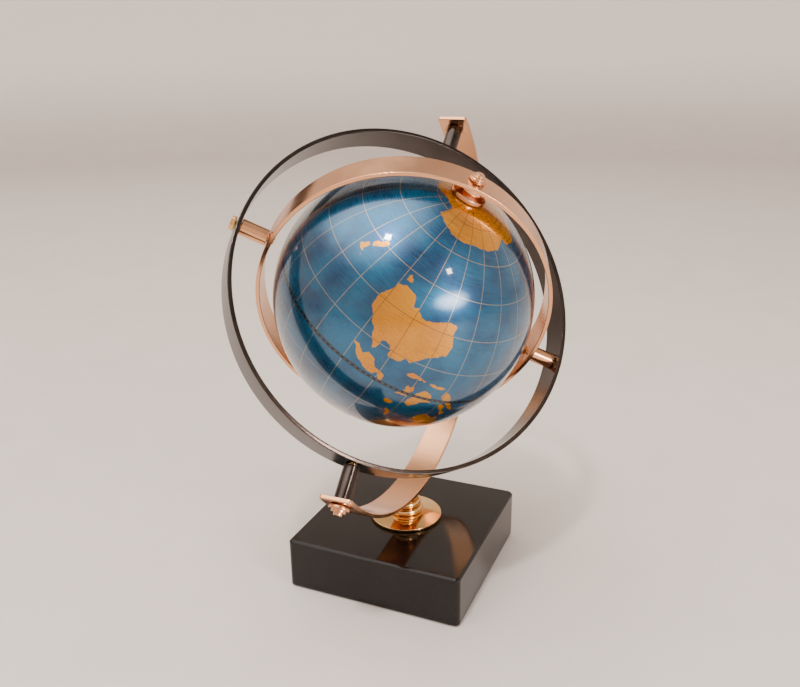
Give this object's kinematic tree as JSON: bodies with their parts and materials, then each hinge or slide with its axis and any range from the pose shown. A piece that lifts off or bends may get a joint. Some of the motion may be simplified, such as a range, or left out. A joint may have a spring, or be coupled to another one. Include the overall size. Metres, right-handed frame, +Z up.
{
  "type": "world globe",
  "caption": "Desk globe that turns freely inside a gimbal of flat metal rings, held by a C-shaped arm on a square black stone base.",
  "frame": {"origin": "centre of the base's underside, right below the globe's centre", "axes": "+Z up; -Y is the front, where the arm is open and its lower end stands; the arm's curve lies in the YZ plane and bulges to +Y; X runs along the base's front edge"},
  "size_m": [0.1152, 0.1486, 0.1835],
  "materials": {
    "black_stone": "polished black stone",
    "polished_gold": "mirror polished",
    "rose_gold": "polished rose gold plating",
    "gunmetal": "satin black nickel plating",
    "blue_lacquer": "metallic blue lacquer with a gold map under clear coat"
  },
  "bodies": {
    "stand": {"base_block": "black_stone", "stand_foot": "polished_gold", "support_arm": "rose_gold", "arm_spacer_lower": "gunmetal", "arm_spacer_upper": "gunmetal", "arm_screw_lower": "rose_gold", "arm_screw_upper": "rose_gold"},
    "outer_gimbal": {"outer_ring": "gunmetal", "ring_spacer_left": "rose_gold", "ring_spacer_right": "rose_gold", "ring_screw_left": "polished_gold", "ring_screw_right": "polished_gold"},
    "inner_gimbal": {"inner_ring": "rose_gold", "pole_screw_north": "rose_gold", "pole_screw_south": "rose_gold"},
    "globe": {"globe_ball": "blue_lacquer", "pole_boss_north": "rose_gold", "pole_boss_south": "rose_gold"}
  },
  "joints": [
    {"name": "outer_ring_turn", "type": "hinge", "parent": "stand", "child": "outer_gimbal", "pos_m": [0, 0, 0.118], "axis": [0, 0.6947, 0.7193], "continuous": true},
    {"name": "inner_ring_turn", "type": "hinge", "parent": "outer_gimbal", "child": "inner_gimbal", "pos_m": [0, 0, 0.118], "axis": [0.766, 0.4624, -0.4465], "continuous": true},
    {"name": "globe_spin", "type": "hinge", "parent": "inner_gimbal", "child": "globe", "pos_m": [0, 0, 0.118], "axis": [0.551, -0.1146, 0.8266], "continuous": true}
  ]
}
